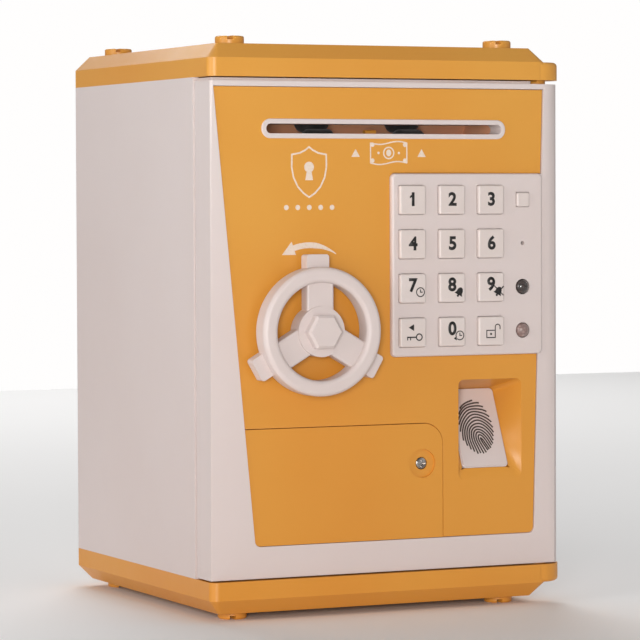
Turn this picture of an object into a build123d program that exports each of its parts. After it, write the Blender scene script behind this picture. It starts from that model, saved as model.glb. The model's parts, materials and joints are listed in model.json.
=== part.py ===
from build123d import *
import os
from math import atan2, cos, degrees, hypot, pi, radians, sin, tan

# Toy cash-machine savings bank, in millimetres.
# While drawing: x runs to the right from the middle of the door's printed artwork,
# y runs back from the front face of the door, z runs up from the table.
# The finished pieces are moved at the end so that the origin is the middle of the base.

# ---- cabinet ----
cabinet_width = 123.2
cabinet_depth = 123.6
cabinet_height = 185.0
artwork_offset = 2.55
wall = 2.2
corner_radius = 3.0
cap_height = 10.8
cap_slope_height = 4.75
cap_slope_inset = 4.3
cap_floor = 2.0
lip_depth = 3.0
lip_thickness = 1.8
lip_clearance = 0.15
foot_height = 2.5
stud_height = 2.7
stud_radius = 4.75
stud_inset = 12.4
stud_slot_width = 1.8
stud_slot_depth = 1.3
coin_slot_length = 34.0
coin_slot_width = 4.6
tab_reach = 11.0
tab_thickness = 3.0
tab_width = 9.0
cap_screw_radius = 1.3

# ---- door and hinge ----
door_thickness = 13.6
door_gap_side = 0.3
door_gap_top = 1.35
door_gap_bottom = 0.5
shell_gap = 0.3
door_lip_height = 1.0
door_lip_back = 2.4
hinge_inset = 0.6
hinge_pin_radius = 1.5
hinge_pin_clearance = 0.05
hinge_pin_depth = 8.0
ear_radius = 7.7
boss_radius = 3.3
boss_clearance = 0.15
door_plate = 4.2
column_reach = 4.25

# ---- orange front panel ----
panel_front = 0.4
panel_thickness = 2.0
panel_gap = 0.15
seat_width = 1.6
panel_top_margin = 1.9
panel_bottom_margin = 10.6
panel_top_left = -62.7
panel_top_right = 57.7
panel_bottom_left = -48.6
panel_bottom_right = 53.8
panel_corner = 1.8
rail_drop = 1.3

# ---- cash slot ----
slot_below_top = 15.4
slot_center_x = -1.3
slot_length = 86.0
slot_height = 3.2
bezel_border = 1.6
bezel_tube_wall = 0.9
bezel_proud = 0.5
bezel_depth = 7.6

# ---- keypad ----
keypad_left = 0.4
keypad_right = 56.8
keypad_top_below = 30.0
keypad_size_z = 60.6
keypad_proud = 1.2
keypad_skin = 2.2
keypad_wall = 1.0
keypad_corner = 1.6
key_pitch = 14.6
key_size = 9.6
key_gap = 0.15
key_proud = 1.3
key_travel = 1.2
key_flange = 1.0
key_first_x = 7.5
key_first_below = 8.75
side_column_x = 49.1
button_size = 4.8
button_travel = 0.8
pinhole_radius = 0.65
led_radius = 2.5

# ---- wheel knob and lock ----
knob_x = -28.9
knob_above_bottom = 80.3
ring_outer_radius = 21.0
ring_radial = 5.1
ring_depth = 8.0
ring_front = 10.6
hub_radius = 8.2
spoke_width = 9.6
tab_outer_radius = 25.0
nut_flats = 10.7
nut_reach = 12.7
shaft_radius = 3.0
running_clearance = 0.05
crank_radius = 3.6
crank_pin_radius = 1.5
crank_start = 45.0
crank_end_y = 19.0
bolt_gap = 0.5
bolt_thickness = 3.0
bolt_height = 10.0
strike_thickness = 1.5
strike_screw_y = 29.5
strike_screw_radius = 1.0

# ---- fingerprint rest ----
rest_left = 25.6
rest_right = 49.4
rest_above_bottom = 29.1
rest_size_z = 33.7
pad_left = 27.3
pad_right = 45.0
pad_low_y = 1.2
pad_high_y = 13.0
pad_thickness = 1.5
rest_wall = 1.8

# ---- battery bay ----
cover_right = 19.6
cover_top_above = 48.6
cover_corner = 7.0
cover_gap = 0.2
cell_radius = 5.25
cell_length = 44.5
cell_clearance = 0.1
bay_wall = 1.2
bay_length = 50.0
cover_screw_x = 12.1
cover_screw_above = 35.4
cover_screw_radius = 1.5

# ---- inner cover and machinery ----
cover_wall = 1.8
deep_back = 36.0
deep_left_inset = 7.65
deep_bevel = 9.0
roller_radius = 4.75
roller_width = 10.3
roller_spacing = 33.5
roller_axle_radius = 1.5
pinch_y = 22.0
feed_y = 17.0
pinch_above_slot = 3.95
feed_below_slot = 4.45
roller_teeth = 12
idler_teeth = 16
pinion_teeth = 10
gear_width = 3.0
gear_backlash = 0.15
pressure_angle = 25.0
motor_radius = 10.0
motor_half_depth = 7.5
motor_length = 24.8
lever_y = 12.3
chute_drop = 5.5
chute_skin = 1.2
chute_passage = 6.7

# ---- worked-out places ----
left = -cabinet_width / 2 - artwork_offset
right = left + cabinet_width
shell_bottom = foot_height + cap_height
shell_top = foot_height + cabinet_height - cap_height
shell_front = door_thickness + shell_gap
door_left = left + door_gap_side
door_bottom = shell_bottom + door_gap_bottom
door_top = shell_top - door_gap_top
hinge_x = right - hinge_inset
hinge_y = door_thickness / 2
column_left = hinge_x - column_reach
panel_back = panel_front + panel_thickness
panel_top = door_top - panel_top_margin
panel_bottom = door_bottom + panel_bottom_margin
slot_z = door_top - slot_below_top
knob_z = door_bottom + knob_above_bottom
keypad_top = door_top - keypad_top_below
keypad_bottom = keypad_top - keypad_size_z
keypad_face = -keypad_proud
keypad_back = keypad_face + keypad_skin
key_first_z = keypad_top - key_first_below
board_front = 5.6
board_back = 7.2
cover_left_x = door_left + deep_left_inset
deep_right = column_left - 0.2
deep_bottom = door_bottom + 6.0
deep_top = door_top - 3.45
cover_top = door_bottom + cover_top_above
cover_screw_z = door_bottom + cover_screw_above
screw_places = (
    (-41.0, door_top - 33.4),
    (-5.0, door_top - 48.4),
    (-41.0, door_bottom + 57.0),
    (46.0, door_bottom + 19.0),
)


def block(x0, x1, y0, y1, z0, z1):
    return Pos((x0 + x1) / 2, (y0 + y1) / 2, (z0 + z1) / 2) * Box(x1 - x0, y1 - y0, z1 - z0)


def along_y(sketch, y0, y1):
    """A sketch drawn in x and z, run from y0 back to y1."""
    return extrude(Plane((0, y1, 0), x_dir=(1, 0, 0), z_dir=(0, -1, 0)) * sketch, y1 - y0)


def along_x(sketch, x0, x1):
    """A sketch drawn in y and z, run from x0 to x1."""
    return extrude(Plane((x0, 0, 0), x_dir=(0, 1, 0), z_dir=(1, 0, 0)) * sketch, x1 - x0)


def along_z(sketch, z0, z1):
    return extrude(Plane.XY.offset(z0) * sketch, z1 - z0)


def disc(a, b, radius):
    return Pos(a, b) * Circle(radius)


def plate(a0, a1, b0, b1, radius=0.0):
    size_a = a1 - a0
    size_b = b1 - b0
    if radius > 0:
        return Pos((a0 + a1) / 2, (b0 + b1) / 2) * RectangleRounded(size_a, size_b, radius)
    return Pos((a0 + a1) / 2, (b0 + b1) / 2) * Rectangle(size_a, size_b)


def outline(*points):
    return make_face(Polyline(*points, close=True))


# ---- cabinet pieces ----
def cabinet_plan(inset, radius):
    return plate(left + inset, right - inset, inset, cabinet_depth - inset, radius)


def cap_form(inset, height):
    """The cap's outside, or its inside when inset by a wall; z = 0 is its open edge."""
    band = cap_height - cap_slope_height
    round_low = max(corner_radius - inset, 0.8)
    low = cabinet_plan(inset, round_low)
    high = cabinet_plan(cap_slope_inset + inset, 0.8)
    sides = along_z(low, 0, band)
    slope = loft([Plane.XY.offset(band) * low, Plane.XY.offset(height) * high], ruled=True)
    return sides + slope


def ear_form():
    band = cap_height - cap_slope_height
    ear = along_z(disc(hinge_x, ear_radius, ear_radius), 0, band)
    return fillet(ear.edges().group_by(Axis.Z)[-1], 1.3)


def stud_places():
    xs = (left + stud_inset, right - stud_inset)
    ys = (stud_inset, cabinet_depth - stud_inset)
    return [(x, y) for x in xs for y in ys]


def tab_places():
    """Screw tabs: middle of each side wall and of the back wall, as (x, y, runs along x)."""
    middle_y = cabinet_depth * 0.6
    reach = wall + tab_reach - 4.5
    return (
        (left + reach, middle_y),
        (right - reach, middle_y),
        (left + cabinet_width / 2, cabinet_depth - reach),
    )


def cap(boss_height, with_coin_slot):
    band = cap_height - cap_slope_height
    front_bar = shell_front + wall
    shape = cap_form(0, cap_height) + ear_form()
    hollow = cap_form(wall, cap_height - wall)
    hollow -= block(left, right, 0, front_bar, 0, cap_floor)
    ledge = cabinet_plan(0, corner_radius) - cabinet_plan(wall + lip_clearance + lip_thickness, 0.8)
    hollow -= along_z(ledge, 0, cap_floor)
    shape -= hollow
    lip = cabinet_plan(wall + lip_clearance, 0.9) - cabinet_plan(wall + lip_clearance + lip_thickness, 0.8)
    lip_ring = along_z(lip, -lip_depth, 0.5)
    shape += lip_ring - block(left - 1, right + 1, -1, front_bar, -20, 20)
    for x, y in tab_places():
        shape += along_z(disc(x, y, 3.2), -lip_depth - 0.05, cap_height - wall + 0.5)
        shape -= along_z(disc(x, y, cap_screw_radius), -20, 4.0)
    shape += along_z(disc(hinge_x, hinge_y, boss_radius), -boss_height, 0.5)
    shape -= along_z(disc(hinge_x, hinge_y, hinge_pin_radius), -20, band - 1.5)
    for x, y in stud_places():
        shape -= along_z(disc(x, y, stud_radius - 1.0), cap_height - wall - 1, cap_height + 1)
    if with_coin_slot:
        x = left + cabinet_width / 2
        y = cabinet_depth / 2
        slot = plate(x - coin_slot_length / 2, x + coin_slot_length / 2,
                     y - coin_slot_width / 2, y + coin_slot_width / 2, 2.0)
        shape -= along_z(slot, 0, cap_height + 1)
    return shape


def place_top(shape):
    return Pos(0, 0, shell_top) * shape


def place_bottom(shape):
    return Pos(0, 0, shell_bottom) * mirror(shape, Plane.XY)


def stud(x, y, height):
    """A round cap shaped like a slotted screw head, with a plug under it."""
    head = along_z(disc(x, y, stud_radius), cap_height, cap_height + height)
    head = fillet(head.edges().group_by(Axis.Z)[-1], 0.7)
    groove = block(x - 2.5, x - 2.5 + stud_slot_width, y - 9, y + 9,
                   cap_height + height - stud_slot_depth, cap_height + height + 1)
    plug = along_z(disc(x, y, stud_radius - 1.0), cap_height - wall, cap_height)
    return head - groove + plug


def body_shell():
    plan = cabinet_plan(0, corner_radius) - cabinet_plan(wall, 0.8)
    shape = along_z(plan, shell_bottom, shell_top)
    shape -= block(left - 1, right + 1, -1, shell_front, 0, 400)
    for end, way in ((shell_top, -1), (shell_bottom, 1)):
        near = end + way * (lip_depth + 0.1)
        far = near + way * tab_thickness
        low, high = min(near, far), max(near, far)
        for x, y in tab_places():
            if y < cabinet_depth * 0.7:
                edge = left + wall / 2 if x < 0 else right - wall / 2
                reach = wall / 2 + tab_reach
                x0, x1 = (edge, edge + reach) if x < 0 else (edge - reach, edge)
                tab = block(x0, x1, y - tab_width / 2, y + tab_width / 2, low, high)
            else:
                edge = cabinet_depth - wall / 2
                tab = block(x - tab_width / 2, x + tab_width / 2, edge - wall / 2 - tab_reach, edge, low, high)
            shape += tab - along_z(disc(x, y, cap_screw_radius + 0.2), 0, 400)
    for z in strike_screw_heights():
        shape -= along_x(disc(strike_screw_y, z, strike_screw_radius), left + wall - 1.5, left + wall + 1)
    return shape


def cap_screw(x, y, end, way):
    seat = end + way * (lip_depth + 0.1 + tab_thickness)
    head_end = seat + way * 1.8
    tip = end - way * 3.5
    head = along_z(disc(x, y, 2.6), min(seat, head_end), max(seat, head_end))
    shank = along_z(disc(x, y, cap_screw_radius), min(seat, tip), max(seat, tip))
    drive = along_z(disc(x, y, 1.1), min(seat + way * 0.9, head_end), max(seat + way * 0.9, head_end))
    return head + shank - drive


def cap_screws():
    solids = []
    for x, y in tab_places():
        solids.append(cap_screw(x, y, shell_top, -1))
        solids.append(cap_screw(x, y, shell_bottom, 1))
    return solids


def hinge_pins():
    top = along_z(disc(hinge_x, hinge_y, hinge_pin_radius), door_top - hinge_pin_depth + 0.4, shell_top + 4.0)
    low = along_z(disc(hinge_x, hinge_y, hinge_pin_radius), shell_bottom - 4.0, door_bottom + hinge_pin_depth - 0.4)
    return [top, low]


# ---- door mouldings ----
def panel_outline():
    shape = outline(
        (panel_top_left, panel_top),
        (panel_top_right, panel_top),
        (panel_bottom_right, panel_bottom),
        (panel_bottom_left, panel_bottom),
    )
    return fillet(shape.vertices().group_by(Axis.Y)[0], panel_corner)


def panel_left_at(z):
    share = (z - panel_bottom) / (panel_top - panel_bottom)
    return panel_bottom_left + share * (panel_top_left - panel_bottom_left)


def keypad_outline(margin=0.0):
    return plate(keypad_left - margin, 75.0, keypad_bottom - margin, keypad_top + margin,
                 keypad_corner + margin)


def panel_sketch(margin=0.0):
    """The orange panel with the keypad's place left out, grown by the margin."""
    shape = panel_outline()
    if margin != 0:
        shape = offset(shape, margin, kind=Kind.INTERSECTION)
    return shape - keypad_outline(-margin)


def tilted_cut(corner, along, normal):
    """A thick slab whose under side is the tilted face of the frame."""
    face = Plane(corner, x_dir=along, z_dir=normal)
    return face * Pos(0, 0, 20) * Box(600, 600, 40)


def key_places():
    names = ("key_1", "key_2", "key_3", "key_4", "key_5", "key_6",
             "key_7", "key_8", "key_9", "key_back", "key_0", "key_unlock")
    places = []
    for count, name in enumerate(names):
        x = key_first_x + (count % 3) * key_pitch
        z = key_first_z - (count // 3) * key_pitch
        places.append((name, x, z))
    return places


def side_z(row):
    return key_first_z - row * key_pitch


def door_frame():
    plan = plate(door_left, hinge_x, 0, door_thickness)
    plan = fillet(plan.vertices().group_by(Axis.X)[0], 1.0)
    plan += disc(hinge_x, hinge_y, door_thickness / 2)
    shape = along_z(plan, door_bottom, door_top)
    shape += block(door_left + 1.2, column_left, door_lip_back, door_thickness,
                   door_top - 0.1, door_top + door_lip_height)
    shape -= block(door_left + wall, column_left, door_plate, door_thickness + 1,
                   door_bottom + wall, door_top - wall)
    shape -= along_y(panel_sketch(panel_gap), -1, panel_back)
    shape -= along_y(panel_sketch(-seat_width), panel_back - 0.1, door_plate + 0.1)
    rail_height = panel_bottom - door_bottom
    low_tilt = atan2(rail_drop, rail_height)
    side_tilt = atan2(rail_drop, panel_bottom_left - door_left)
    corner = (panel_bottom_left - 0.3, 0, panel_bottom - 0.3)
    lean = atan2(panel_bottom_left - panel_top_left, panel_top - panel_bottom)
    shape -= tilted_cut(corner, (1, 0, 0), (0, -cos(low_tilt), -sin(low_tilt)))
    side_normal = (-sin(side_tilt) * cos(lean), -cos(side_tilt), -sin(side_tilt) * sin(lean))
    shape -= tilted_cut(corner, (-sin(lean), 0, cos(lean)), side_normal)
    raised = plate(keypad_left, keypad_right, keypad_bottom, keypad_top, keypad_corner)
    face = along_y(raised, keypad_face, door_plate)
    face = fillet(face.edges().group_by(Axis.Y)[0], 0.9)
    shape += face
    inside = plate(keypad_left + keypad_wall, column_left - 0.6,
                   keypad_bottom + keypad_wall, keypad_top - keypad_wall)
    shape -= along_y(inside, keypad_back, door_plate + 0.1)
    for _, x, z in key_places():
        half = key_size / 2 + key_gap
        shape -= along_y(plate(x - half, x + half, z - half, z + half, 0.8), -5, door_plate)
    half = button_size / 2 + key_gap
    shape -= along_y(plate(side_column_x - half, side_column_x + half,
                           side_z(0) - half, side_z(0) + half, 0.5), -5, door_plate)
    shape -= along_y(disc(side_column_x, side_z(1), pinhole_radius), -5, door_plate)
    for row in (2, 3):
        shape -= along_y(disc(side_column_x, side_z(row), led_radius + 0.1), -5, door_plate)
    bore = hinge_pin_radius + hinge_pin_clearance
    shape -= along_z(disc(hinge_x, hinge_y, bore), door_top - hinge_pin_depth, door_top + 1)
    shape -= along_z(disc(hinge_x, hinge_y, bore), door_bottom - 1, door_bottom + hinge_pin_depth)
    return shape


def pad_plane():
    low_z, high_z = rest_floor()
    rise = hypot(pad_high_y - pad_low_y, high_z - low_z)
    slope_y = (pad_high_y - pad_low_y) / rise
    slope_z = (high_z - low_z) / rise
    middle = ((pad_left + pad_right) / 2, (pad_low_y + pad_high_y) / 2, (low_z + high_z) / 2)
    return Plane(middle, x_dir=(1, 0, 0), z_dir=(0, -slope_z, slope_y)), rise


def rest_floor():
    low = door_bottom + rest_above_bottom
    return low + 3.9, low + rest_size_z - 3.7


def rest_rim(margin):
    low = door_bottom + rest_above_bottom
    return plate(rest_left - margin, rest_right + margin, low - margin, low + rest_size_z + margin, 2.0 + margin)


def rest_form(margin, depth):
    """The well of the fingerprint rest, or its outside when grown by the margin."""
    floor_plane, rise = pad_plane()
    rim = Plane((0, panel_front, 0), x_dir=(1, 0, 0), z_dir=(0, -1, 0)) * rest_rim(margin)
    width = pad_right - pad_left + 2 * margin
    floor = floor_plane * Pos(0, 0, -depth) * RectangleRounded(width, rise + 2 * margin, 1.5)
    return loft([floor, rim], ruled=True)


def cover_region(margin=0.0):
    """The lower left part of the panel, which is the battery cover."""
    shape = plate(-90.0, cover_right + margin, -20.0, cover_top + margin)
    corner = shape.vertices().sort_by(Axis.X)[-2:].sort_by(Axis.Y)[-1]
    return fillet(corner, cover_corner + margin)


def front_panel():
    shape = along_y(panel_sketch(), panel_front, panel_back)
    shape -= along_y(cover_region(cover_gap), -1, panel_back + 0.1)
    rim = cover_region(cover_gap) - cover_region(-seat_width)
    rim_space = offset(panel_outline(), -seat_width - panel_gap, kind=Kind.INTERSECTION)
    seat = cover_region(cover_gap + 1.5) - cover_region(-seat_width)
    shape += along_y(seat & rim_space, panel_back + 0.05, panel_back + 1.5)
    link = (cover_region(cover_gap + 1.5) - cover_region(cover_gap)) & rim_space
    shape += along_y(link, panel_back - 0.5, panel_back + 1.0)
    tube_x = slot_length / 2 + bezel_tube_wall + 0.1
    tube_z = slot_height / 2 + bezel_tube_wall + 0.1
    slot = plate(slot_center_x - tube_x, slot_center_x + tube_x, slot_z - tube_z, slot_z + tube_z, tube_z - 0.05)
    shape -= along_y(slot, -1, panel_back + 0.1)
    shape += along_y(disc(knob_x, knob_z, 5.5), panel_back - 0.5, 9.0)
    shape -= along_y(disc(knob_x, knob_z, shaft_radius + running_clearance), -1, 10)
    shape += rest_form(rest_wall, pad_thickness + rest_wall)
    shape -= rest_form(0, 0)
    low = door_bottom + rest_above_bottom
    shape -= block(rest_left + 2, rest_right - 2, -3, panel_front + 0.01, low + 2, low + rest_size_z - 2)
    floor_plane, rise = pad_plane()
    width = pad_right - pad_left
    shape -= extrude(floor_plane * Rectangle(width - 0.2, rise - 0.2), -pad_thickness - 0.1)
    for x, z in screw_places:
        shape += along_y(disc(x, z, 3.0), panel_back - 0.5, 13.8)
        shape -= along_y(disc(x, z, 1.25), 5.5, 14)
    return shape


def fingerprint_pad():
    floor_plane, rise = pad_plane()
    width = pad_right - pad_left
    pad = extrude(floor_plane * RectangleRounded(width - 0.4, rise - 0.4, 1.4), -pad_thickness)
    top = floor_plane * Pos(0, 0, -0.01) * RectangleRounded(width - 1.2, rise - 1.2, 1.4)
    return pad + extrude(top, 0.35)


def slot_bezel():
    half_x = slot_length / 2
    half_z = slot_height / 2
    rim_x = half_x + bezel_border
    rim_z = half_z + bezel_border
    tube_x = half_x + bezel_tube_wall
    tube_z = half_z + bezel_tube_wall
    rim = plate(slot_center_x - rim_x, slot_center_x + rim_x, slot_z - rim_z, slot_z + rim_z, rim_z - 0.05)
    tube = plate(slot_center_x - tube_x, slot_center_x + tube_x, slot_z - tube_z, slot_z + tube_z, tube_z - 0.05)
    hole = plate(slot_center_x - half_x, slot_center_x + half_x, slot_z - half_z, slot_z + half_z, half_z - 0.05)
    shape = along_y(rim, panel_front - bezel_proud, panel_front)
    shape = fillet(shape.edges().group_by(Axis.Y)[0], 0.35)
    shape += along_y(tube, panel_front, bezel_depth)
    return shape - along_y(hole, -2, bezel_depth + 1)


# ---- keypad pieces ----
def key(x, z, size, proud, inner_flange):
    half = size / 2
    front = keypad_face - proud
    cap_part = along_y(plate(x - half, x + half, z - half, z + half, 0.7), front, keypad_back + 0.3)
    cap_part = fillet(cap_part.edges().group_by(Axis.Y)[0], 0.6)
    wide = half + inner_flange
    flange = plate(x - wide, x + wide, z - wide, z + wide, 0.7)
    return cap_part + along_y(flange, keypad_back + 0.3, keypad_back + 0.3 + key_flange)


def keypad_membrane():
    last_x = key_first_x + 2 * key_pitch
    last_z = key_first_z - 3 * key_pitch
    sheet = plate(key_first_x - 4, last_x + 6.5, last_z - 5, key_first_z + 5, 1.0)
    shape = along_y(sheet, board_front - 0.9, board_front)
    for _, x, z in key_places():
        shape += along_y(disc(x, z, 3.2), board_front - 1.9, board_front - 0.9)
    return shape


def keypad_board():
    board = plate(keypad_left + 2.2, column_left - 2.0, keypad_bottom + 2.2, keypad_top - 2.2)
    for x, z in screw_places:
        board -= disc(x, z, 3.6)
    shape = along_y(board, board_front, board_back)
    for row in (0, 1):
        z = side_z(row)
        shape += block(side_column_x - 2.2, side_column_x + 2.2, board_front - 1.6, board_front + 0.5, z - 2.2, z + 2.2)
    middle_z = (keypad_top + keypad_bottom) / 2
    shape += block(8, 18, board_back - 0.5, board_back + 1.6, middle_z - 12, middle_z + 2)
    shape += along_y(disc(26, middle_z - 16, 3.2), board_back - 0.5, board_back + 7.0)
    shape += block(32, 38, board_back - 0.5, board_back + 4.0, keypad_bottom + 4, keypad_bottom + 12)
    return shape


def led(row):
    z = side_z(row)
    tip = keypad_face - 1.4
    body = along_y(disc(side_column_x, z, led_radius), tip + led_radius, board_front)
    dome = Pos(side_column_x, tip + led_radius, z) * Sphere(led_radius)
    flange = along_y(disc(side_column_x, z, led_radius + 0.4), board_front - 1.0, board_front)
    return body + dome + flange


# ---- wheel knob and lock ----
def around_knob(shape, angle):
    return Pos(knob_x, 0, knob_z) * Rot(0, angle, 0) * shape


def wheel_knob():
    shape = knob_ring(ring_outer_radius - ring_radial / 2)
    arm_reach = ring_outer_radius - 2.0
    for angle in (0, 120, 240):
        spoke = block(-spoke_width / 2, spoke_width / 2, -8.3, -3.2, 0, arm_reach)
        spoke = fillet(spoke.edges().filter_by(Axis.Z), 0.8)
        stub = block(-4.0, 4.0, -6.2, -2.0, arm_reach - 2, tab_outer_radius)
        stub = fillet(stub.edges().filter_by(Axis.Y).group_by(Axis.Z)[-1], 1.0)
        shape += around_knob(spoke, angle) + around_knob(stub, angle)
    shape += along_y(disc(knob_x, knob_z, hub_radius), -9.0, -2.6)
    shape += along_y(disc(knob_x, knob_z, 5.4), -2.7, panel_front - 0.2)
    shape -= along_y(disc(knob_x, knob_z, shaft_radius), -7.5, 5)
    return shape


def knob_ring(middle):
    section = Pos(middle, ring_front - ring_depth / 2) * RectangleRounded(ring_radial, ring_depth, 1.6)
    ring = revolve(Plane.XZ * section, Axis.Z)
    return Pos(knob_x, 0, knob_z) * Rot(90, 0, 0) * ring


def knob_cap():
    nut = Pos(knob_x, knob_z) * RegularPolygon(nut_flats / 2, 6, major_radius=False)
    shape = along_y(nut, -nut_reach, -9.0)
    return chamfer(shape.edges().group_by(Axis.Y)[0], 0.8)


def knob_shaft():
    return along_y(disc(knob_x, knob_z, shaft_radius), -7.5, crank_end_y - 0.5)


def lock_crank():
    arm = radians(270 + crank_start)
    pin_x = knob_x + crank_radius * cos(arm)
    pin_z = knob_z + crank_radius * sin(arm)
    shape = along_y(disc(knob_x, knob_z, 6.4), crank_end_y - 3.5, crank_end_y)
    shape += along_y(disc(knob_x, knob_z, 5.0), 9.2, crank_end_y - 3.4)
    shape -= along_y(disc(knob_x, knob_z, shaft_radius), 0, crank_end_y - 0.5)
    return shape + along_y(disc(pin_x, pin_z, crank_pin_radius), crank_end_y - 0.5, crank_end_y + bolt_gap + bolt_thickness)


bolt_stroke = 2 * crank_radius * sin(radians(crank_start))
bolt_y0 = crank_end_y + bolt_gap
bolt_y1 = bolt_y0 + bolt_thickness
bolt_top = knob_z + 2.0
bolt_low = bolt_top - bolt_height
bolt_tip = cover_left_x + 0.4
plunger_x = -44.0


def lock_bolt():
    pin_x = knob_x + crank_radius * sin(radians(crank_start))
    shape = block(bolt_tip, pin_x + 5.0, bolt_y0, bolt_y1, bolt_low, bolt_top)
    shape = chamfer(shape.edges().filter_by(Axis.Y).group_by(Axis.X)[0], 1.2)
    slot_low = knob_z - crank_radius - crank_pin_radius - 0.35
    slot_high = knob_z - crank_radius * cos(radians(crank_start)) + crank_pin_radius + 0.35
    half = crank_pin_radius + 0.25
    shape -= along_y(plate(pin_x - half, pin_x + half, slot_low, slot_high, 1.2), bolt_y0 - 1, bolt_y1 + 1)
    notch_x = plunger_x + bolt_stroke
    shape -= block(notch_x - 2.4, notch_x + 2.4, bolt_y0 - 1, bolt_y1 + 1, bolt_top - 2.4, bolt_top + 1)
    return shape


def strike_screw_heights():
    middle = (bolt_low + bolt_top) / 2
    return (middle - 6.5, middle + 6.5)


def strike_plate():
    middle = (bolt_low + bolt_top) / 2
    inner = left + wall
    shape = block(inner, inner + strike_thickness, shell_front + 2.4, 34, middle - 10, middle + 10)
    shape += block(inner, bolt_tip - bolt_stroke + 3.4, shell_front + 2.4, shell_front + 4.6, middle - 10, middle + 10)
    shape -= block(inner - 1, inner + strike_thickness + 1, bolt_y0 - 0.3, bolt_y1 + 0.3,
                   bolt_low - 0.4, bolt_top + 0.4)
    for z in strike_screw_heights():
        shape -= along_x(disc(strike_screw_y, z, strike_screw_radius), inner - 1, inner + 4)
    return shape


def strike_screws():
    inner = left + wall
    seat = inner + strike_thickness
    solids = []
    for z in strike_screw_heights():
        head = along_x(disc(strike_screw_y, z, 1.9), seat, seat + 1.1)
        shank = along_x(disc(strike_screw_y, z, strike_screw_radius), inner - 1.5, seat)
        solids.append(head + shank)
    return solids


# ---- solenoid ----
coil_bottom = knob_z + 12.2
frame_bottom = knob_z + 11.0
frame_top = knob_z + 27.0
bolt_mid_y = (bolt_y0 + bolt_y1) / 2


def solenoid_frame():
    y0 = bolt_mid_y - 6.5
    y1 = bolt_mid_y + 6.5
    shape = block(plunger_x - 7, plunger_x + 7, y0, y1, frame_bottom, frame_top)
    shape -= block(plunger_x - 8, plunger_x + 8, y0 - 1, y1 - 1.2, coil_bottom, frame_top - 1.2)
    shape -= along_z(disc(plunger_x, bolt_mid_y, 2.3), frame_bottom - 1, frame_top - 1.2)
    return shape


def solenoid_coil():
    ring = disc(plunger_x, bolt_mid_y, 5.2) - disc(plunger_x, bolt_mid_y, 2.3)
    return along_z(ring, coil_bottom, frame_top - 1.2)


def solenoid_plunger():
    rod = along_z(disc(plunger_x, bolt_mid_y, 2.0), bolt_top + 0.3, frame_top - 6.0)
    collar = along_z(disc(plunger_x, bolt_mid_y, 3.6), bolt_top + 2.3, bolt_top + 3.3)
    return rod + collar


def plunger_spring():
    low = bolt_top + 3.3
    height = frame_bottom - low
    wire = 0.25
    turns = 4
    path = Helix(pitch=(height - 2 * wire) / turns, height=height - 2 * wire, radius=2.95)
    ring = Plane(path @ 0, z_dir=path % 0) * Circle(wire)
    return Pos(plunger_x, bolt_mid_y, low + wire) * sweep(ring, path=path)


# ---- note feeder ----
roller_distance = hypot(feed_y - pinch_y, pinch_above_slot + feed_below_slot)
module = roller_distance / roller_teeth
feed_z = slot_z - feed_below_slot
pinch_z = slot_z + pinch_above_slot
idler_z = feed_z - module * (roller_teeth + idler_teeth) / 2
motor_z = idler_z - module * (idler_teeth + pinion_teeth) / 2
chute_left = slot_center_x - slot_length / 2 - 0.6
chute_right = slot_center_x + slot_length / 2 + 0.6
gear_x0 = chute_right + 1.5 + 0.8
gear_x1 = gear_x0 + gear_width


def roller_places():
    return (slot_center_x - roller_spacing / 2, slot_center_x + roller_spacing / 2)


def rollers(y, z):
    solids = []
    for x in roller_places():
        tyre = along_x(disc(y, z, roller_radius), x - roller_width / 2, x + roller_width / 2)
        tyre = fillet(tyre.edges(), 1.9)
        solids.append(tyre - along_x(disc(y, z, roller_axle_radius), x - 10, x + 10))
    return solids


def axle(y, z):
    return along_x(disc(y, z, roller_axle_radius), chute_left - 2.3, gear_x1 + 0.4)


def tooth_outline(teeth):
    """One tooth pointing along +x: involute flanks above the base circle."""
    pitch_radius = module * teeth / 2
    base = pitch_radius * cos(radians(pressure_angle))
    tip = pitch_radius + 0.8 * module
    root = pitch_radius - 1.1 * module
    half_pitch = (pi * module / 2 - gear_backlash) / 2 / pitch_radius
    roll = tan(radians(pressure_angle)) - radians(pressure_angle)
    flank = []
    steps = 5
    start = max(base, root)
    for step in range(steps + 1):
        radius = start + (tip - start) * step / steps
        turn = (max(radius / base, 1.0) ** 2 - 1) ** 0.5
        angle = half_pitch + roll - (turn - atan2(turn, 1.0))
        flank.append((radius * cos(angle), radius * sin(angle)))
    foot_angle = atan2(flank[0][1], flank[0][0])
    foot = ((root - 0.3) * cos(foot_angle), (root - 0.3) * sin(foot_angle))
    upper = [foot] + flank
    lower = [(x, -y) for x, y in reversed(upper)]
    return outline(*upper, *lower)


def gear(teeth, phase, y, z, bore, x0, x1):
    root = module * teeth / 2 - 1.1 * module
    tooth = tooth_outline(teeth)
    shape = along_x(disc(y, z, root) - disc(y, z, bore), x0, x1)
    for count in range(teeth):
        shape += along_x(Pos(y, z) * Rot(0, 0, phase + 360 / teeth * count) * tooth, x0, x1)
    return shape


def mesh_phase(phase, teeth, direction, next_teeth):
    """Where a tooth of the next gear points so that the two mesh."""
    return direction + 180 - (phase - direction) * teeth / next_teeth + 180 / next_teeth


def gear_phases():
    pinion = 90.0
    idler = mesh_phase(pinion, pinion_teeth, 90, idler_teeth)
    feed = mesh_phase(idler, idler_teeth, 90, roller_teeth)
    lean = degrees(atan2(pinch_z - feed_z, pinch_y - feed_y))
    pinch = mesh_phase(feed, roller_teeth, lean, roller_teeth)
    return pinion, idler, feed, pinch


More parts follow.
